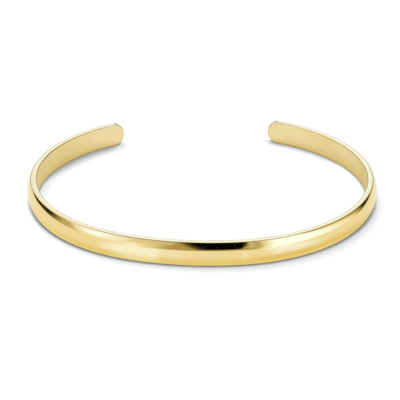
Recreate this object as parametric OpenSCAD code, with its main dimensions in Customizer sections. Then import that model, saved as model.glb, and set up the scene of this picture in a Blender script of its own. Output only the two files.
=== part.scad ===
// Open cuff bangle: one bar of metal, flat inside and domed outside, bent in
// three tangent arcs and left open at the back between two rounded ends.
// It lies on its lower edge: z = 0 is the surface it rests on, and the gap
// faces +Y. Lengths are in millimetres, angles in degrees.

/* [Opening] */
// Width inside, from side to side
inner_w = 58; // [54:0.5:66]
// Gap between the two ends
gap_w = 27; // [22:0.5:32]

/* [Bar] */
// Height of the bar
bar_h = 4.2; // [4.1:0.1:6]
// Thickness at the flat upper and lower edges
edge_t = 1; // [0.8:0.05:1.6]
// How far the dome stands out beyond the edges
dome_rise = 0.7; // [0.4:0.05:1.2]
// Radius of the softened corners inside
comfort_r = 0.15; // [0.05:0.05:0.3]
// Corner radius of the rounded ends
end_r = 2; // [0.8:0.1:2]

/* [Bends] */
// Inner radius of the shallow bend at the front
front_r = 41; // [34:0.5:48]
// Sweep of the front bend
front_a = 25; // [20:1:40]
// How far the front bend's middle is turned to the left of the foremost point
front_turn_a = 8.5; // [0:0.5:9]
// How much larger the right arm's radius is than the left arm's
arm_r_diff = 0.5; // [0:0.1:1.5]

/* [Hidden] */
$fn = 180;

// Thickness at the crown of the dome
crown_t = edge_t + dome_rise;
// Radius of the arc through the crown and the two outer edges
dome_r = (pow(bar_h / 2, 2) + pow(dome_rise, 2)) / (2 * dome_rise);

// Headings are turned from the foremost point, where the bar runs along X.
// The inner radii of the arms follow from the inside width.
left_a = front_a / 2 + front_turn_a;
right_a = front_a / 2 - front_turn_a;
left_s = sin(left_a);
right_s = sin(right_a);
left_r = four_places((inner_w - front_r * (left_s + right_s) - arm_r_diff * (1 - right_s))
    / (2 - left_s - right_s));
right_r = left_r + arm_r_diff;
left_end_a = end_heading(left_r);
right_end_a = end_heading(right_r);

function four_places(x) = round(x * 10000) / 10000;

// Heading at an arm's end, which lies half the gap from the middle
function end_heading(r) = 180 - asin((gap_w / 2 - inner_w / 2 + r) / r);

// How far an arm's inner wall reaches sideways, and its end's crown backwards,
// from the front bend's centre
function side_reach(r, start_a) = r + (front_r - r) * sin(start_a);
function back_reach(r, start_a, end_a) =
    -(front_r - r) * cos(start_a) - (r + crown_t) * cos(end_a);

// The front bend's centre puts the middle of the whole outline on the Z axis
front_x = (side_reach(left_r, left_a) - side_reach(right_r, right_a)) / 2;
front_y = (front_r + crown_t - max(back_reach(left_r, left_a, left_end_a),
    back_reach(right_r, right_a, right_end_a))) / 2;

// How far past its middle the front bend is drawn before it is cut there
lap_a = 2;
// How far cutting shapes stand clear of the bar
clear = 1;

// Section of the bar across its run: x is measured out from the inner wall
module bar_section()
    intersection() {
        translate([crown_t - dome_r, bar_h / 2]) circle(dome_r);
        union() {
            translate([comfort_r, 0]) square([crown_t, bar_h]);
            translate([0, comfort_r]) square([crown_t, bar_h - 2 * comfort_r]);
            for (z = [comfort_r, bar_h - comfort_r])
                translate([comfort_r, z]) circle(comfort_r);
        }
    }

// A stretch of bar round the Z axis, between two headings
module bend(r, from_a, to_a)
    rotate_extrude(angle = to_a - from_a, start = from_a - 90)
        translate([r, 0]) bar_section();

// What the file takes off the two corners of an end, cut through the bar
module end_corners(r, end_a)
    rotate([0, 0, end_a - 90])
        translate([r - clear, 0, bar_h / 2])
            rotate([90, 0, 90])
                linear_extrude(crown_t + 2 * clear)
                    for (lower = [0, 1]) mirror([0, lower]) end_corner();

// One of those corners, with x the distance past the end and y the height above
// the bar's middle
module end_corner()
    translate([-end_r, bar_h / 2 - end_r])
        difference() {
            square(end_r + clear);
            circle(end_r);
        }

// An arm of a given sweep and half of the front bend, to the right of its middle.
// The two bends meet at heading 0 of a frame turned with them, and a square cut
// ends the half at the front bend's middle, so that both joints fit face to face.
module half_bar(r, arm_a)
    intersection() {
        rotate([0, 0, front_a / 2]) {
            bend(front_r, -front_a / 2 - lap_a, 0);
            translate([0, r - front_r, 0])
                difference() {
                    bend(r, 0, arm_a);
                    end_corners(r, arm_a);
                }
        }
        right_side();
    }

// The space to the right of the front bend's middle
module right_side()
    translate([0, -front_r - crown_t - clear, -clear])
        cube([inner_w, 2 * front_r, bar_h + 2 * clear]);

module cuff_band()
    color([0.86, 0.72, 0.36])
        translate([front_x, front_y, 0])
            rotate([0, 0, -front_turn_a]) {
                half_bar(right_r, right_end_a - right_a);
                mirror([1, 0, 0]) half_bar(left_r, left_end_a - left_a);
            }

cuff_band();
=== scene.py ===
# Open cuff bangle in yellow gold: a slim bar, satin inside and polished on its
# dome, rims and ends, lying on a white surface. Lengths are in metres.
import math

import bpy
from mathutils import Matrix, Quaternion, Vector


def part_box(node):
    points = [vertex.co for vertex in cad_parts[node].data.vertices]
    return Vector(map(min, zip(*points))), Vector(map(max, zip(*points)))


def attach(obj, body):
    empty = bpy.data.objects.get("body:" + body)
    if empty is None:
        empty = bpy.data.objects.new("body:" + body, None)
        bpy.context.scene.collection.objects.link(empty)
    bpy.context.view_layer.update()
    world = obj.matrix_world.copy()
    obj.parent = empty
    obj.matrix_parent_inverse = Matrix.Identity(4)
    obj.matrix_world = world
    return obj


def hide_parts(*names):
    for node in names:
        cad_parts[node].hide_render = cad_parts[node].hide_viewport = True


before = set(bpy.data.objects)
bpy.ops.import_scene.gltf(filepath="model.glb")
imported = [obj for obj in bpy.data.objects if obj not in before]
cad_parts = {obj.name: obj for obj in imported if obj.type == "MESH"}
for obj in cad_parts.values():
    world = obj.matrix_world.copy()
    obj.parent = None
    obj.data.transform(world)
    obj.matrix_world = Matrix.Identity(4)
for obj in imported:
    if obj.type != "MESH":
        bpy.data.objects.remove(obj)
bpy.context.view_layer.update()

MM = 0.001

# The plan of the bar, measured on its inner wall
INSIDE_W = 58 * MM
GAP_W = 27 * MM
FRONT_R = 41 * MM
FRONT_SWEEP = math.radians(25)
FRONT_TURN = math.radians(8.5)
ARM_R_DIFF = 0.5 * MM
# The length over which one bend eases into the next
EASE = 6 * MM

# The section of the bar
EDGE_T = 1.0 * MM
DOME_RISE = 0.7 * MM
END_R = 2.0 * MM
INNER_EDGE_R = 0.2 * MM
OUTER_EDGE_R = 0.1 * MM
CROWN_T = EDGE_T + DOME_RISE

# How finely the bar is divided: its end corners and softened edges, the rows along its
# two big faces, the cuts across it in two rounds, and the line that bends it
END_SEGMENTS = 16
EDGE_SEGMENTS = 4
DOME_ROW = 0.125 * MM
DOME_ROWS = 14
WALL_ROW = 0.35 * MM
WALL_ROWS = 5
CUTS_FIRST = 20
CUTS_SECOND = 19
PATH_STEP = 0.05 * MM
# In each round, edges longer than this share of an uncut stretch are cut
UNCUT_SHARE = 0.75
# The round form that shapes the dome: its sides, and how much longer than the bar it is
FORM_SIDES = 1024
FORM_OVERLENGTH = 1.2
# The profile of a bevel that is a quarter round
QUARTER_ROUND = 0.5
# Lengths that differ by less than this are equal, on flat faces and on end corners
FLAT_MATCH = 0.001 * MM
CORNER_MATCH = 0.005 * MM

# The camera, aimed just behind the middle of the cuff
CAMERA_AIM = Vector((0, 0.125 * MM, 0))
CAMERA_DISTANCE = 297.67 * MM
CAMERA_AZIMUTH = math.radians(-2.7816)
CAMERA_ELEVATION = math.radians(25.1)
CAMERA_ROLL = math.radians(0.05)
# Its sensor's width in millimetres, and in pixels the picture's width, the focal length
# and the place of the aimed point
SENSOR_W = 36
IMAGE_W = 400
FOCAL_PIXELS = 1690
AIM_PIXEL_X = 202.3
AIM_PIXEL_Y = 198.1

cad_low, cad_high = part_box("cuff_band")
BAR_H = cad_high[2] - cad_low[2]
DOME_R = ((BAR_H / 2) ** 2 + DOME_RISE ** 2) / (2 * DOME_RISE)


# The run of the bar

def arm_radii():
    """The arms' inner radii, left and right, that give the inside width."""
    left_s = math.sin(FRONT_SWEEP / 2 + FRONT_TURN)
    right_s = math.sin(FRONT_SWEEP / 2 - FRONT_TURN)
    arms_w = INSIDE_W - FRONT_R * (left_s + right_s) - ARM_R_DIFF * (1 - right_s)
    left_r = arms_w / (2 - left_s - right_s)
    return left_r, left_r + ARM_R_DIFF


def end_heading(radius):
    """The heading at an arm's end, which lies half the gap from the middle."""
    return math.pi - math.asin((GAP_W / 2 - INSIDE_W / 2 + radius) / radius)


def eased(distance):
    """From 0 to 1 along the run, smoothly, round the joint of two bends."""
    t = min(max(distance / EASE + 0.5, 0), 1)
    return t * t * (3 - 2 * t)


def walk_the_bar():
    """Points on the inner wall and headings there, from the left end to the right one."""
    left_r, right_r = arm_radii()
    left_len = left_r * (end_heading(left_r) - FRONT_SWEEP / 2 - FRONT_TURN)
    front_len = FRONT_R * FRONT_SWEEP
    right_len = right_r * (end_heading(right_r) - FRONT_SWEEP / 2 + FRONT_TURN)
    length = left_len + front_len + right_len
    steps = round(length / PATH_STEP)
    step = length / steps
    place, heading = Vector((0, 0, 0)), -end_heading(left_r)
    places, headings = [place], [heading]
    for i in range(steps):
        run = (i + 0.5) * step
        bend = 1 / left_r + (1 / FRONT_R - 1 / left_r) * eased(run - left_len)
        bend += (1 / right_r - 1 / FRONT_R) * eased(run - left_len - front_len)
        middle = heading + bend * step / 2
        place = place + step * Vector((math.cos(middle), math.sin(middle), 0))
        heading += bend * step
        places.append(place)
        headings.append(heading)
    return length, places, headings


def bar_path():
    """The inner wall's line, with the crown's outline centred where the frame has it."""
    length, places, headings = walk_the_bar()
    crown = [p + CROWN_T * Vector((math.sin(h), -math.cos(h), 0)) for p, h in zip(places, headings)]
    shift = Vector((0, 0, 0))
    for axis in (0, 1):
        middle = (max(c[axis] for c in crown) + min(c[axis] for c in crown)) / 2
        shift[axis] = (cad_low[axis] + cad_high[axis]) / 2 - middle
    curve = bpy.data.curves.new("bar_path", "CURVE")
    curve.dimensions = "2D"
    spline = curve.splines.new("POLY")
    spline.points.add(len(places) - 1)
    for point, p in zip(spline.points, places):
        point.co = (p.x + shift.x, p.y + shift.y, 0, 1)
    path = bpy.data.objects.new("bar_path", curve)
    bpy.context.collection.objects.link(path)
    return path, length


# Small helpers for modelling by hand

def only(obj):
    bpy.ops.object.select_all(action="DESELECT")
    obj.select_set(True)
    bpy.context.view_layer.objects.active = obj


def pick(obj, kind, wanted):
    """Selects the vertices, edges or faces of obj for which wanted(item, verts) holds."""
    bpy.ops.object.mode_set(mode="EDIT")
    bpy.ops.mesh.select_mode(type=kind)
    bpy.ops.mesh.select_all(action="DESELECT")
    bpy.ops.object.mode_set(mode="OBJECT")
    mesh = obj.data
    items = {"VERT": mesh.vertices, "EDGE": mesh.edges, "FACE": mesh.polygons}[kind]
    for item in items:
        corners = [item.index] if kind == "VERT" else item.vertices
        item.select = wanted(item, [mesh.vertices[v].co for v in corners])
    bpy.ops.object.mode_set(mode="EDIT")


def apply_modifier(obj, kind, **settings):
    bpy.ops.object.modifier_add(type=kind)
    modifier = obj.modifiers[-1]
    for name, value in settings.items():
        setattr(modifier, name, value)
    bpy.ops.object.modifier_apply(modifier=modifier.name)


def near(a, b, within=FLAT_MATCH):
    return abs(a - b) < within


# The bar is made straight, with x along it and its inner wall at y = 0

def straight_slab(length):
    bpy.ops.mesh.primitive_cube_add(size=1, location=(length / 2, -EDGE_T / 2, BAR_H / 2))
    bar = bpy.context.object
    bar.name = "cuff_band_gold"
    bar.scale = (length, EDGE_T, BAR_H)
    bpy.ops.object.transform_apply(location=True, rotation=True, scale=True)
    only(bar)
    pick(bar, "EDGE", lambda e, v: near(abs(v[0].y - v[1].y), EDGE_T))
    bpy.ops.mesh.bevel(offset=END_R, offset_type="OFFSET", segments=END_SEGMENTS,
                       profile=QUARTER_ROUND)
    bpy.ops.object.mode_set(mode="OBJECT")
    return bar


def face_rows(bar, y, row, rows, length):
    """Divides the big face at y into rows that run along the bar and round its ends."""
    pick(bar, "FACE", lambda f, v: all(near(c.y, y) for c in v))
    for _ in range(rows):
        bpy.ops.mesh.inset(thickness=row, depth=0)
    bpy.ops.object.mode_set(mode="OBJECT")
    left = BAR_H / 2 - row * rows
    for x in (END_R, length - END_R):
        pick(bar, "VERT", lambda w, v: near(v[0].y, y) and near(v[0].x, x)
             and near(abs(v[0].z - BAR_H / 2), left))
        bpy.ops.mesh.vert_connect()
        bpy.ops.object.mode_set(mode="OBJECT")


def raise_dome(bar, length):
    """Presses the outer face out onto a round form that lies along the bar."""
    bpy.ops.mesh.primitive_cylinder_add(vertices=FORM_SIDES, radius=DOME_R,
                                        depth=length * FORM_OVERLENGTH,
                                        location=(length / 2, DOME_R - CROWN_T, BAR_H / 2),
                                        rotation=(0, math.pi / 2, 0))
    form = bpy.context.object
    only(bar)
    outer = bar.vertex_groups.new(name="dome")
    outer.add([v.index for v in bar.data.vertices if near(v.co.y, -EDGE_T)], 1, "REPLACE")
    apply_modifier(bar, "SHRINKWRAP", target=form, wrap_method="PROJECT", vertex_group="dome",
                   use_project_y=True, use_negative_direction=True, use_positive_direction=False)
    bpy.data.objects.remove(form, do_unlink=True)


def soften_edges(bar):
    """Rounds the two edges that run round the bar, the inner one a little more."""
    length = max(v.co.x for v in bar.data.vertices)

    def on_outline(c):
        if END_R < c.x < length - END_R:
            return near(c.z, 0) or near(c.z, BAR_H)
        centre_x = END_R if c.x < length / 2 else length - END_R
        centre_z = min(max(c.z, END_R), BAR_H - END_R)
        return near(math.hypot(c.x - centre_x, c.z - centre_z), END_R, CORNER_MATCH)

    def inner_edge(e, v):
        return all(near(c.y, 0) and on_outline(c) for c in v)

    def outer_edge(e, v):
        return all(c.y < -EDGE_T + FLAT_MATCH and on_outline(c) for c in v)

    for edge, radius in ((inner_edge, INNER_EDGE_R), (outer_edge, OUTER_EDGE_R)):
        pick(bar, "EDGE", edge)
        bpy.ops.mesh.bevel(offset=radius, offset_type="OFFSET", segments=EDGE_SEGMENTS,
                           profile=QUARTER_ROUND)
        bpy.ops.object.mode_set(mode="OBJECT")


def divide_along(bar, length):
    """Cuts the long faces into short ones, so that the bar can bend."""
    for cuts, uncut in ((CUTS_FIRST, length), (CUTS_SECOND, length / (CUTS_FIRST + 1))):
        pick(bar, "EDGE", lambda e, v: abs(v[0].x - v[1].x) > uncut * UNCUT_SHARE)
        bpy.ops.mesh.subdivide(number_cuts=cuts)
        bpy.ops.object.mode_set(mode="OBJECT")


def finish_faces(bar):
    """The inner wall is satin and all the rest is polished. Each place keeps its spot
    on the straight bar, for the materials."""
    for face in bar.data.polygons:
        inside = all(near(bar.data.vertices[v].co.y, 0) for v in face.vertices)
        face.material_index = 1 if inside else 0
    place = bar.data.attributes.new("bar_place", "FLOAT_VECTOR", "POINT")
    flat = [c for v in bar.data.vertices for c in v.co]
    place.data.foreach_set("vector", flat)


def cuff_band(polished, satin):
    path, length = bar_path()
    bar = straight_slab(length)
    face_rows(bar, -EDGE_T, DOME_ROW, DOME_ROWS, length)
    face_rows(bar, 0, WALL_ROW, WALL_ROWS, length)
    raise_dome(bar, length)
    soften_edges(bar)
    divide_along(bar, length)
    bar.data.materials.append(polished)
    bar.data.materials.append(satin)
    finish_faces(bar)
    only(bar)
    apply_modifier(bar, "CURVE", object=path, deform_axis="POS_X")
    bpy.data.objects.remove(path, do_unlink=True)
    bpy.ops.object.shade_smooth()
    apply_modifier(bar, "WEIGHTED_NORMAL", keep_sharp=False, weight=50)
    return bar


# Shader nodes

def add_node(tree, kind, inputs=None, **settings):
    """A node with its settings, and its inputs linked to sockets or set to values."""
    node = tree.nodes.new(kind)
    for name, value in settings.items():
        setattr(node, name, value)
    fill_inputs(tree, node, inputs or {})
    return node


def fill_inputs(tree, node, inputs):
    for socket, value in inputs.items():
        if isinstance(value, bpy.types.NodeSocket):
            tree.links.new(value, node.inputs[socket])
        else:
            node.inputs[socket].default_value = value


def maths(tree, operation, a, b=0.0, c=0.0):
    return add_node(tree, "ShaderNodeMath", {0: a, 1: b, 2: c}, operation=operation).outputs[0]


def vector_maths(tree, operation, a, b=None, scale=None):
    inputs = {0: a}
    if b is not None:
        inputs[1] = b
    if scale is not None:
        inputs["Scale"] = scale
    return add_node(tree, "ShaderNodeVectorMath", inputs, operation=operation).outputs[0]


def mix_colours(tree, factor, a, b):
    return add_node(tree, "ShaderNodeMix", {"Factor": factor, 6: a, 7: b}, data_type="RGBA").outputs[2]


def mix_values(tree, factor, a, b):
    return add_node(tree, "ShaderNodeMix", {"Factor": factor, "A": a, "B": b},
                    data_type="FLOAT").outputs["Result"]


def fade_in(tree, value, edge, width):
    """0 before an edge and 1 past it, with a soft step of the given width."""
    node = add_node(tree, "ShaderNodeMapRange", {"Value": value, "From Min": edge - width / 2,
                                                 "From Max": edge + width / 2},
                    interpolation_type="SMOOTHSTEP")
    return node.outputs["Result"]


def split(tree, vector):
    axes = add_node(tree, "ShaderNodeSeparateXYZ", {0: vector}).outputs
    return axes["X"], axes["Y"], axes["Z"]


def join(tree, x, y, z):
    return add_node(tree, "ShaderNodeCombineXYZ", {0: x, 1: y, 2: z}).outputs[0]


def noise(tree, place, scale, detail, roughness=0.5):
    return add_node(tree, "ShaderNodeTexNoise", {"Vector": place, "Scale": scale, "Detail": detail,
                                                 "Roughness": roughness}).outputs["Fac"]


SOCKETS = {"value": "NodeSocketFloat", "vector": "NodeSocketVector", "colour": "NodeSocketColor"}


def new_group(name, inputs, outputs):
    """An empty node group with named sockets, and its input and output nodes."""
    group = bpy.data.node_groups.new(name, "ShaderNodeTree")
    for label, kind in inputs.items():
        group.interface.new_socket(label, in_out="INPUT", socket_type=SOCKETS[kind])
    for label, kind in outputs.items():
        group.interface.new_socket(label, in_out="OUTPUT", socket_type=SOCKETS[kind])
    return group, group.nodes.new("NodeGroupInput").outputs, group.nodes.new("NodeGroupOutput")


def use_group(tree, group, inputs):
    node = tree.nodes.new("ShaderNodeGroup")
    node.node_tree = group
    fill_inputs(tree, node, inputs)
    return node.outputs


# Effects that both finishes of the gold share. All of them read the straight bar's
# own coordinates, in metres: along the bar, through it and up its height.

BAR_LENGTH = walk_the_bar()[0]
# How the two directions of the marks are turned, and the length over which the tone drifts
MARK_TURNS = (math.radians(24), math.radians(-31))
DRIFT_LENGTH = 9 * MM
# Depths at which the painted shade along the inner edge ends and along the outer edge begins
INNER_LINE_Y = -0.16 * MM
OUTER_LINE_Y = -0.94 * MM
LINE_FADE = 0.08 * MM
# Soft steps in a noise, by their middle and width: from bare metal to a mark, and from
# one tone of the alloy to the other
MARK_STEP = (0.72, 0.1)
DRIFT_STEP = (0.5, 0.4)
# The stretch of a noise that becomes the relief of the fine lines
LINE_RANGE = (0.3, 0.7)


def polish_waves():
    """The slow unevenness that a polishing wheel leaves, as a height from 0 to 1."""
    group, given, out = new_group("polish_waves", {"Place": "vector", "Wave Length": "value",
                                                   "Stretch": "value"}, {"Height": "value"})
    x, y, z = split(group, given["Place"])
    place = join(group, maths(group, "DIVIDE", x, given["Stretch"]), y, z)
    waves_per_metre = maths(group, "DIVIDE", 1.0, given["Wave Length"])
    height = noise(group, place, waves_per_metre, detail=1.0, roughness=0.35)
    group.links.new(height, out.inputs["Height"])
    return group


def fine_lines():
    """Fine lines that run along the bar, as a relief from 0 to 1."""
    group, given, out = new_group("fine_lines", {"Place": "vector", "Line Length": "value",
                                                 "Line Width": "value"}, {"Relief": "value"})
    x, y, z = split(group, given["Place"])
    place = join(group, maths(group, "DIVIDE", x, given["Line Length"]),
                 maths(group, "DIVIDE", y, given["Line Width"]),
                 maths(group, "DIVIDE", z, given["Line Width"]))
    lines = noise(group, place, 1.0, detail=2.0, roughness=0.6)
    relief = add_node(group, "ShaderNodeMapRange", {"Value": lines, "From Min": LINE_RANGE[0],
                                                    "From Max": LINE_RANGE[1]})
    group.links.new(relief.outputs["Result"], out.inputs["Relief"])
    return group


def handling_marks():
    """Faint short scratches in two directions, left by hands and cloths, as a mask."""
    group, given, out = new_group("handling_marks", {"Place": "vector", "Mark Width": "value",
                                                     "Mark Length": "value", "Amount": "value"},
                                  {"Mask": "value"})
    masks = []
    for turn in MARK_TURNS:
        turned = add_node(group, "ShaderNodeVectorRotate", {"Vector": given["Place"], "Angle": turn},
                          rotation_type="Y_AXIS").outputs[0]
        x, y, z = split(group, turned)
        place = join(group, maths(group, "DIVIDE", x, given["Mark Length"]), 0.0,
                     maths(group, "DIVIDE", z, given["Mark Width"]))
        masks.append(fade_in(group, noise(group, place, 1.0, detail=0.0), *MARK_STEP))
    both = maths(group, "MAXIMUM", masks[0], masks[1])
    group.links.new(maths(group, "MULTIPLY", both, given["Amount"]), out.inputs["Mask"])
    return group


def edge_shade_masks():
    """How near a place is to the edge round the wall or the dome, as two masks for painted shade."""
    group, given, out = new_group("edge_shade_masks", {"Place": "vector", "Width": "value"},
                                  {"Inner": "value", "Outer": "value"})
    x, y, z = split(group, given["Place"])
    past = []
    for place, size in ((x, BAR_LENGTH), (z, BAR_H)):
        off_middle = maths(group, "ABSOLUTE", maths(group, "SUBTRACT", place, size / 2))
        past.append(maths(group, "MAXIMUM", maths(group, "SUBTRACT", off_middle, size / 2 - END_R), 0.0))
    reach = add_node(group, "ShaderNodeVectorMath", {0: join(group, past[0], past[1], 0.0)},
                     operation="LENGTH").outputs["Value"]
    from_outline = maths(group, "SUBTRACT", END_R, reach)
    close = maths(group, "SUBTRACT", 1.0, maths(group, "DIVIDE", from_outline, given["Width"]))
    close = maths(group, "MINIMUM", maths(group, "MAXIMUM", close, 0.0), 1.0)
    inner = maths(group, "MULTIPLY", close, fade_in(group, y, INNER_LINE_Y, LINE_FADE))
    outer = maths(group, "SUBTRACT", 1.0, fade_in(group, y, OUTER_LINE_Y, LINE_FADE))
    group.links.new(inner, out.inputs["Inner"])
    group.links.new(maths(group, "MULTIPLY", close, outer), out.inputs["Outer"])
    return group


def alloy_colour():
    """Two near tones of the alloy, slowly drifting into each other along the bar."""
    group, given, out = new_group("alloy_colour", {"Place": "vector", "Tone": "colour",
                                                   "Other Tone": "colour"}, {"Color": "colour"})
    drift = noise(group, given["Place"], 1 / DRIFT_LENGTH, detail=2.0)
    factor = fade_in(group, drift, *DRIFT_STEP)
    group.links.new(mix_colours(group, factor, given["Tone"], given["Other Tone"]), out.inputs["Color"])
    return group


POLISH_WAVES = polish_waves()
FINE_LINES = fine_lines()
HANDLING_MARKS = handling_marks()
EDGE_SHADE_MASKS = edge_shade_masks()
ALLOY_COLOUR = alloy_colour()


def new_material(name):
    material = bpy.data.materials.new(name)
    material.use_nodes = True
    tree = material.node_tree
    tree.nodes.clear()
    return material, tree


def bar_place(tree):
    return add_node(tree, "ShaderNodeAttribute", attribute_name="bar_place").outputs["Vector"]


# The two finishes, with the sizes of their shared effects. Their roughness goes from the
# first value to the second over the relief of the fine lines and grows on the marks, and
# their heights are shares of the bump's depth.
BUMP_DEPTH = 0.006 * MM
POLISHED = {
    "tones": ((0.86, 0.665, 0.285, 1), (0.84, 0.655, 0.27, 1)),
    "waves": {"Wave Length": 2.2 * MM, "Stretch": 3.0},
    "lines": {"Line Length": 6 * MM, "Line Width": 0.06 * MM},
    "marks": {"Mark Width": 0.035 * MM, "Mark Length": 1.4 * MM, "Amount": 1.0},
    # Painted shade along the edges: its width, its darker tone and that tone's share
    "edges": {"Width": 0.3 * MM},
    "edge_shade_tone": (0.56, 0.4, 0.14, 1),
    "edge_shade_share": 0.35,
    "roughness": (0.04, 0.08),
    "marks_roughness": 0.12,
    "heights": {"waves": 1.0, "lines": 0.012, "marks": 0.03},
}
SATIN = {
    "tones": ((0.89, 0.73, 0.38, 1), (0.83, 0.66, 0.3, 1)),
    "waves": {"Wave Length": 1.6 * MM, "Stretch": 4.0},
    "lines": {"Line Length": 3.5 * MM, "Line Width": 0.09 * MM},
    "marks": {"Mark Width": 0.05 * MM, "Mark Length": 1.2 * MM, "Amount": 1.0},
    # Painted shade along the edges: its width, its darker tone and that tone's share
    "edges": {"Width": 0.45 * MM},
    "edge_shade_tone": (0.6, 0.45, 0.17, 1),
    "edge_shade_share": 0.4,
    "roughness": (0.3, 0.42),
    "marks_roughness": 0.08,
    "heights": {"waves": 0.8, "lines": 0.5, "marks": 0.3},
}
# The deeper tone along the satin's lines, and its share on the highest of them
LINE_TONE = (0.76, 0.55, 0.2, 1)
LINE_SHARE = 0.18
# How much rougher the polish is on the flat rims, and how softly that begins
RIM_ROUGHNESS = 0.18
RIM_FADE = 0.02 * MM


def gold_effects(tree, finish):
    """The shared effects in a finish's own sizes: its waves, lines, marks, painted edge shade and alloy."""
    place = bar_place(tree)
    waves = use_group(tree, POLISH_WAVES, {"Place": place, **finish["waves"]})[0]
    lines = use_group(tree, FINE_LINES, {"Place": place, **finish["lines"]})[0]
    marks = use_group(tree, HANDLING_MARKS, {"Place": place, **finish["marks"]})[0]
    edges = use_group(tree, EDGE_SHADE_MASKS, {"Place": place, **finish["edges"]})
    tone, other_tone = finish["tones"]
    colour = use_group(tree, ALLOY_COLOUR, {"Place": place, "Tone": tone, "Other Tone": other_tone})[0]
    return waves, lines, marks, edges, colour


def edge_shaded_colour(tree, finish, edge, colour):
    """The colour, with a share of the finish's deeper tone along an edge, as painted shade."""
    return mix_colours(tree, maths(tree, "MULTIPLY", edge, finish["edge_shade_share"]), colour,
                       finish["edge_shade_tone"])


def gold_roughness(tree, finish, lines, marks):
    roughness = mix_values(tree, lines, *finish["roughness"])
    return maths(tree, "ADD", roughness, maths(tree, "MULTIPLY", marks, finish["marks_roughness"]))


def gold_height(tree, finish, waves, lines, marks):
    """Waves and lines stand up from the metal, and marks are cut into it."""
    share = finish["heights"]
    height = maths(tree, "MULTIPLY_ADD", lines, share["lines"],
                   maths(tree, "MULTIPLY", waves, share["waves"]))
    return maths(tree, "SUBTRACT", height, maths(tree, "MULTIPLY", marks, share["marks"]))


def gold_shader(tree, colour, roughness, height):
    bump = add_node(tree, "ShaderNodeBump", {"Height": height, "Distance": BUMP_DEPTH, "Strength": 1.0})
    shader = add_node(tree, "ShaderNodeBsdfPrincipled", {"Base Color": colour, "Metallic": 1.0,
                                                         "Roughness": roughness, "Normal": bump.outputs[0]})
    add_node(tree, "ShaderNodeOutputMaterial", {"Surface": shader.outputs[0]})


def flat_rim(tree, place):
    """1 on the flat upper and lower rims, and 0 elsewhere."""
    z = split(tree, place)[2]
    off_middle = maths(tree, "ABSOLUTE", maths(tree, "SUBTRACT", z, BAR_H / 2))
    return fade_in(tree, off_middle, BAR_H / 2 - RIM_FADE, RIM_FADE)


def polished_gold():
    """Dome, rims and ends: a mirror polish, a little uneven and softer on the flat rims,
    with a few faint marks and painted shade along both edges."""
    material, tree = new_material("polished_gold")
    waves, lines, marks, edges, colour = gold_effects(tree, POLISHED)
    # Painted shade: a darker tone along both edges
    either_edge = maths(tree, "MAXIMUM", edges["Inner"], edges["Outer"])
    colour = edge_shaded_colour(tree, POLISHED, either_edge, colour)
    roughness = gold_roughness(tree, POLISHED, lines, marks)
    rim = flat_rim(tree, bar_place(tree))
    roughness = maths(tree, "MULTIPLY_ADD", rim, RIM_ROUGHNESS, roughness)
    gold_shader(tree, colour, roughness, gold_height(tree, POLISHED, waves, lines, marks))
    return material


def satin_gold():
    """The inner wall: brushed lengthwise to a soft sheen, with painted shade along its edge."""
    material, tree = new_material("satin_gold")
    waves, lines, marks, edges, colour = gold_effects(tree, SATIN)
    colour = mix_colours(tree, maths(tree, "MULTIPLY", lines, LINE_SHARE), colour, LINE_TONE)
    # Painted shade: a darker tone along the inner edge
    colour = edge_shaded_colour(tree, SATIN, edges["Inner"], colour)
    roughness = gold_roughness(tree, SATIN, lines, marks)
    gold_shader(tree, colour, roughness, gold_height(tree, SATIN, waves, lines, marks))
    return material


band = cuff_band(polished_gold(), satin_gold())
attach(band, "root")
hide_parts("cuff_band")
# The white surface stays neutral beside the gold
band.visible_diffuse = False


# The stage

def patch(name, across, up, soft, level, lean=(0, 0)):
    """A window, wall or card round the cuff, as seen from it: its left and right edges and
    its lower and upper ones in degrees, how softly these four fade, how bright it is, and
    how far its left and right edges lean for each degree upwards. Azimuth 0 is the
    camera's side and 90 is the right."""
    return {"name": name, "across": across, "up": up, "soft": soft, "level": level, "lean": lean}


# What surrounds the cuff. Later patches cover earlier ones.
ROOM_LEVEL = 1.0
ROOM = (
    patch("ceiling", (-179, 179), (52, 99), soft=(1, 1, 10, 1), level=0.35),
    patch("back_window", (100, 260), (15, 48), soft=(40, 40, 8, 10), level=1.8),
    patch("back_lamp", (172.5, 180.5), (20, 48), soft=(8, 5, 8, 10), level=3.1),
    patch("back_wall", (112, 235), (-2, 14), soft=(10, 10, 4, 8), level=0.12),
    patch("right_window", (30, 86), (-2, 52), soft=(13, 60, 14, 14), level=2.8, lean=(0.15, 0)),
    patch("right_beam", (126, 160), (8, 60), soft=(30, 14, 6, 6), level=0.45, lean=(-2, 0)),
    patch("left_shoulder", (-76, -38), (5, 46), soft=(10, 10, 14, 20), level=1.6),
    patch("left_window", (-92, -58), (12, 50), soft=(16, 18, 16, 14), level=2.7),
    patch("left_strip", (-44, -35), (-5, 26), soft=(5, 7, 10, 14), level=1.8),
    patch("left_post", (-44, -28), (17, 60), soft=(6, 4, 14, 6), level=0.88),
    patch("left_wall", (-118, -81), (1, 28), soft=(30, 20, 6, 26), level=0.6),
    patch("left_card", (-142, -103), (1.5, 21), soft=(8, 18, 5, 16), level=0.03),
    patch("right_wall", (107, 140), (0, 34), soft=(20, 16, 4, 20), level=0.45),
    patch("right_card", (115, 140), (2, 30), soft=(8, 8, 4, 8), level=0.02),
    patch("dim_room", (-26, 25), (2, 99), soft=(16, 11, 7, 1), level=0.48, lean=(0, 0.1)),
    patch("left_streak", (-24.5, -20.5), (26, 60), soft=(3, 3, 12, 8), level=0.75),
    patch("right_streak", (16, 20), (8, 60), soft=(3, 8, 8, 8), level=0.76, lean=(0.1, 0.1)),
    patch("door", (-6, 5), (7, 88), soft=(4, 4, 5, 10), level=0.12, lean=(-0.28, 0)),
    patch("dark_room", (-3.5, 10.5), (8, 88), soft=(6, 2, 3, 10), level=0.0, lean=(-0.26, 0.22)),
)
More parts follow.
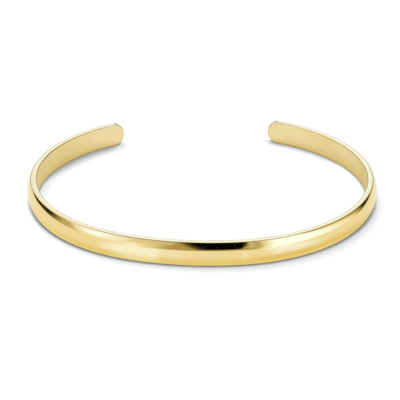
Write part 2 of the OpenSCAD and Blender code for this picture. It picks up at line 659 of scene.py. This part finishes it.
# The painted sheen that the white surface shows the gold in place of its plain white: bands
# that run outwards from near the cuff's middle, by their edges in degrees and how softly these fade
SHEEN_CENTRE = Vector((1 * MM, -5 * MM, 0))
SHEEN_LEVEL = 1.08
SHEEN = (
    {"across": (-49, -24), "soft": (14, 6), "level": 2.0},
    {"across": (-24, -13), "soft": (6, 8), "level": 1.45},
    {"across": (-13, 11), "soft": (6, 3), "level": 1.15},
    {"across": (11.5, 14.5), "soft": (2, 4), "level": 1.55},
    {"across": (14.5, 28), "soft": (4, 6), "level": 1.2},
    {"across": (26, 49), "soft": (6, 18), "level": 2.0},
)
# Painted shade and light in the gold's reflection close to its foot: in front of it, at its sides
# and within the ring, a little further out, and in the palest and the deepest band of the sheen
SHEEN_SHADE = 20 * MM
FRONT_FOOT = (0.95, 0.92, 0.62, 1)
SIDE_FOOT = (0.62, 0.57, 0.33, 1)
INNER_FOOT = (0.4, 0.38, 0.24, 1)
BESIDE_FOOT = (0.93, 0.87, 0.55, 1)
INNER_BESIDE = (0.78, 0.73, 0.47, 1)
PALE_FOOT = (1.0, 1.1, 1.2, 1)
DEEP_FOOT = (0.9, 0.78, 0.42, 1)
FRONT = {"across": (-95, 66), "soft": (36, 36)}
PALE_BAND = {"across": (-42, -26), "soft": (12, 6)}
DEEP_BAND = {"across": (20, 80), "soft": (24, 30)}
# How much further from the gold the deepest band keeps its warmth, as open sky lost
DEEP_SPREAD = 0.08
# Soft steps in the share of open sky, by their middle and width: from the gold's foot to
# what lies beside it, and from there to the sheen
FOOT_STEP = (0.4, 0.2)
BESIDE_STEP = (0.72, 0.3)
# In how many directions the share of open sky is measured
SKY_SAMPLES = 16
# The surface's width in metres, and the tint of its painted shade close to the cuff and of the
# open surface, with the step between them
SURFACE_W = 6
PAINTED_SHADE_TINT = (0.92, 0.86, 0.72, 1)
OPEN_TINT = (0.99, 1, 1.02, 1)
TINT_STEP = (0.62, 0.5)
# How brightly the surface glows where the window does not reach, and the window's share
SURFACE_FILL = 0.74
WINDOW_SHARE = 0.3
WINDOW_AZIMUTH = math.radians(-155)
WINDOW_ELEVATION = math.radians(64)
WINDOW_SPREAD = math.radians(36)
# The space within the ring, as two rounds that follow the arms' inner walls: their
# middles, and how far they reach, to about halfway under the bar
ARM_CENTRES = (Vector((-3.6 * MM, 1.6 * MM, 0)), Vector((3.1 * MM, 1.1 * MM, 0)))
ARM_REACH = (26.1 * MM, 26.6 * MM)
RING_FADE = 0.5 * MM
# How far the cuff darkens the surface beside it: outside the bar, within the ring,
# and within it at the right and left of the back
SHADE_OUTSIDE = 0.8 * MM
SHADE_INSIDE = 0.5 * MM
SHADE_RIGHT_BACK = 1.9 * MM
SHADE_LEFT_BACK = 3.6 * MM
RIGHT_BACK = {"across": (130, 172), "soft": (16, 10)}
LEFT_BACK = {"across": (-150, -122), "soft": (6, 22)}

WHITE = (1, 1, 1, 1)
# Dim light is warm and turns white over this step. Above level 1 it gains these shares of
# red, green and blue, so that its reflection in the gold gets paler.
DIM_TINT = (1, 0.86, 0.42, 1)
DIM_STEP = (0.65, 0.5)
BRIGHT_GAIN = (0.1, 0.3, 1.0)
# How bright the plain backdrop is that the camera sees past the surface
BACKDROP_LEVEL = 1.1
# In degrees: azimuths run once round from this far before a patch's left edge
FULL_TURN = 360
COUNT_BEFORE = 60


def light_colour():
    """Light of a given level: warm where it is dim, white at 1 and bluish above it."""
    group, given, out = new_group("light_colour", {"Level": "value"}, {"Color": "colour"})
    level = given["Level"]
    tint = mix_colours(group, fade_in(group, level, *DIM_STEP), DIM_TINT, WHITE)
    dim = vector_maths(group, "SCALE", tint, scale=maths(group, "MINIMUM", level, 1.0))
    excess = maths(group, "MAXIMUM", maths(group, "SUBTRACT", level, 1.0), 0.0)
    bright = vector_maths(group, "SCALE", BRIGHT_GAIN, scale=excess)
    group.links.new(vector_maths(group, "ADD", dim, bright), out.inputs["Color"])
    return group


LIGHT_COLOUR = light_colour()


def azimuth_of(tree, x, y):
    turned = maths(tree, "ARCTAN2", x, maths(tree, "MULTIPLY", y, -1.0))
    return maths(tree, "MULTIPLY", turned, math.degrees(1))


def band_mask(tree, azimuth, p):
    """1 between the two edges of a band that runs outwards, and 0 beside it."""
    return maths(tree, "SUBTRACT", fade_in(tree, azimuth, p["across"][0], p["soft"][0]),
                 fade_in(tree, azimuth, p["across"][1], p["soft"][1]))


def within_ring(tree, place):
    """1 on the surface within the ring, and 0 outside the bar."""
    inside = 0.0
    for centre, reach in zip(ARM_CENTRES, ARM_REACH):
        out = add_node(tree, "ShaderNodeVectorMath", {0: place, 1: centre}, operation="DISTANCE")
        beyond = fade_in(tree, out.outputs["Value"], reach, RING_FADE)
        inside = maths(tree, "MAXIMUM", inside, maths(tree, "SUBTRACT", 1.0, beyond))
    return inside


def share_of_sky(tree, reach):
    """How much of the sky a place sees past all that stands within reach of it."""
    sky = add_node(tree, "ShaderNodeAmbientOcclusion", {"Distance": reach}, samples=SKY_SAMPLES)
    return sky.outputs["AO"]


def shade_reach(tree, azimuth, inside):
    """How far from the bar the surface darkens, at a place on it."""
    reach = SHADE_INSIDE
    reach = mix_values(tree, band_mask(tree, azimuth, RIGHT_BACK), reach, SHADE_RIGHT_BACK)
    reach = mix_values(tree, band_mask(tree, azimuth, LEFT_BACK), reach, SHADE_LEFT_BACK)
    return mix_values(tree, inside, SHADE_OUTSIDE, reach)


def painted_reflection_colour(tree, azimuth, inside):
    """The painted reflection the gold sees on the surface: sheen bands, and painted shade near the foot."""
    level = SHEEN_LEVEL
    for streak in SHEEN:
        level = mix_values(tree, band_mask(tree, azimuth, streak), level, streak["level"])
    sheen = use_group(tree, LIGHT_COLOUR, {"Level": level})[0]
    open_sky = share_of_sky(tree, SHEEN_SHADE)
    deep = maths(tree, "MULTIPLY", band_mask(tree, azimuth, DEEP_BAND), DEEP_SPREAD)
    open_sky = maths(tree, "SUBTRACT", open_sky, deep)
    foot = mix_colours(tree, band_mask(tree, azimuth, FRONT), SIDE_FOOT, FRONT_FOOT)
    foot = mix_colours(tree, inside, foot, INNER_FOOT)
    beside = mix_colours(tree, band_mask(tree, azimuth, PALE_BAND), BESIDE_FOOT, PALE_FOOT)
    beside = mix_colours(tree, band_mask(tree, azimuth, DEEP_BAND), beside, DEEP_FOOT)
    beside = mix_colours(tree, inside, beside, INNER_BESIDE)
    warm = mix_colours(tree, fade_in(tree, open_sky, *FOOT_STEP), foot, beside)
    return mix_colours(tree, fade_in(tree, open_sky, *BESIDE_STEP), warm, sheen)


def surface_material():
    """White: a glow with painted shade by the cuff, a window behind, and a painted sheen for the gold."""
    material, tree = new_material("white_surface")
    place = add_node(tree, "ShaderNodeTexCoord").outputs["Object"]
    x, y, z = split(tree, vector_maths(tree, "SUBTRACT", place, SHEEN_CENTRE))
    azimuth = azimuth_of(tree, x, y)
    inside = within_ring(tree, place)
    near_sky = share_of_sky(tree, shade_reach(tree, azimuth, inside))
    # Painted shade: the glow dims and warms where the cuff hides the sky
    tint = mix_colours(tree, fade_in(tree, near_sky, *TINT_STEP), PAINTED_SHADE_TINT, OPEN_TINT)
    strength = maths(tree, "MULTIPLY", near_sky, SURFACE_FILL)
    fill = add_node(tree, "ShaderNodeEmission", {"Color": tint, "Strength": strength}).outputs[0]
    lit = add_node(tree, "ShaderNodeBsdfDiffuse", {"Color": WHITE}).outputs[0]
    direct = add_node(tree, "ShaderNodeAddShader", {0: fill, 1: lit}).outputs[0]
    # Painted reflection: every ray but the camera's sees the painted sheen instead of the lit white
    sheen = painted_reflection_colour(tree, azimuth, inside)
    mirrored = add_node(tree, "ShaderNodeEmission", {"Color": sheen, "Strength": 1.0}).outputs[0]
    seen = add_node(tree, "ShaderNodeLightPath").outputs["Is Camera Ray"]
    both = add_node(tree, "ShaderNodeMixShader", {0: seen, 1: mirrored, 2: direct})
    add_node(tree, "ShaderNodeOutputMaterial", {"Surface": both.outputs[0]})
    return material


def white_surface():
    bpy.ops.mesh.primitive_plane_add(size=SURFACE_W, location=(0, 0, 0))
    sheet = bpy.context.object
    sheet.name = "white_surface"
    sheet.data.materials.append(surface_material())


def towards(azimuth, elevation):
    """The direction with that azimuth and elevation, as a vector of length 1."""
    return Vector((math.sin(azimuth) * math.cos(elevation), -math.cos(azimuth) * math.cos(elevation),
                   math.sin(elevation)))


def window_light():
    """The soft light from behind on the left that casts the cuff's shadow on the surface."""
    light = bpy.data.lights.new("window_light", "SUN")
    light.energy = WINDOW_SHARE * math.pi / math.sin(WINDOW_ELEVATION)
    light.angle = WINDOW_SPREAD
    window = bpy.data.objects.new("window_light", light)
    away = towards(WINDOW_AZIMUTH, WINDOW_ELEVATION)
    window.rotation_euler = away.to_track_quat("Z", "Y").to_euler()
    # The gold reflects the painted windows of the room instead
    window.visible_glossy = False
    bpy.context.collection.objects.link(window)


def room_mask(tree, azimuth, elevation, p):
    """1 within a window, wall or card and 0 outside it."""
    start = p["across"][0] - COUNT_BEFORE
    turned = maths(tree, "WRAP", azimuth, start + FULL_TURN, start)

    def past(edge, lean):
        """Degrees past a leaning edge."""
        return maths(tree, "SUBTRACT", turned, maths(tree, "MULTIPLY_ADD", elevation, lean, edge))

    left, right, low, high = p["soft"]
    mask = maths(tree, "SUBTRACT", fade_in(tree, past(p["across"][0], p["lean"][0]), 0, left),
                 fade_in(tree, past(p["across"][1], p["lean"][1]), 0, right))
    mask = maths(tree, "MULTIPLY", mask, fade_in(tree, elevation, p["up"][0], low))
    above = fade_in(tree, elevation, p["up"][1], high)
    return maths(tree, "MULTIPLY", mask, maths(tree, "SUBTRACT", 1.0, above))


def studio_light():
    """The room round the cuff, lit as in the photograph, and plain white where the camera sees it."""
    world = bpy.data.worlds.new("studio")
    bpy.context.scene.world = world
    world.use_nodes = True
    world.cycles_visibility.diffuse = False
    tree = world.node_tree
    tree.nodes.clear()
    x, y, z = split(tree, add_node(tree, "ShaderNodeTexCoord").outputs["Generated"])
    azimuth = azimuth_of(tree, x, y)
    elevation = maths(tree, "MULTIPLY", maths(tree, "ARCSINE", z), math.degrees(1))
    level = ROOM_LEVEL
    for p in ROOM:
        level = mix_values(tree, room_mask(tree, azimuth, elevation, p), level, p["level"])
        level.node.label = p["name"]
    colour = use_group(tree, LIGHT_COLOUR, {"Level": level})[0]
    lit = add_node(tree, "ShaderNodeBackground", {"Color": colour, "Strength": 1.0})
    plain = add_node(tree, "ShaderNodeBackground", {"Color": WHITE, "Strength": BACKDROP_LEVEL})
    seen = add_node(tree, "ShaderNodeLightPath").outputs["Is Camera Ray"]
    both = add_node(tree, "ShaderNodeMixShader", {0: seen, 1: lit.outputs[0], 2: plain.outputs[0]})
    add_node(tree, "ShaderNodeOutputWorld", {"Surface": both.outputs[0]})


def photo_camera():
    back = towards(CAMERA_AZIMUTH, CAMERA_ELEVATION)
    data = bpy.data.cameras.new("camera")
    data.sensor_width = SENSOR_W
    data.lens = FOCAL_PIXELS / IMAGE_W * SENSOR_W
    data.shift_x = -(AIM_PIXEL_X - IMAGE_W / 2) / IMAGE_W
    data.shift_y = -(IMAGE_W / 2 - AIM_PIXEL_Y) / IMAGE_W
    data.clip_start = 1 * MM
    camera = bpy.data.objects.new("camera", data)
    camera.location = CAMERA_AIM + back * CAMERA_DISTANCE
    roll = Quaternion((0, 0, 1), CAMERA_ROLL)
    camera.rotation_euler = (back.to_track_quat("Z", "Y") @ roll).to_euler()
    bpy.context.collection.objects.link(camera)
    bpy.context.scene.camera = camera


white_surface()
window_light()
studio_light()
photo_camera()
bpy.context.scene.view_settings.view_transform = "Standard"
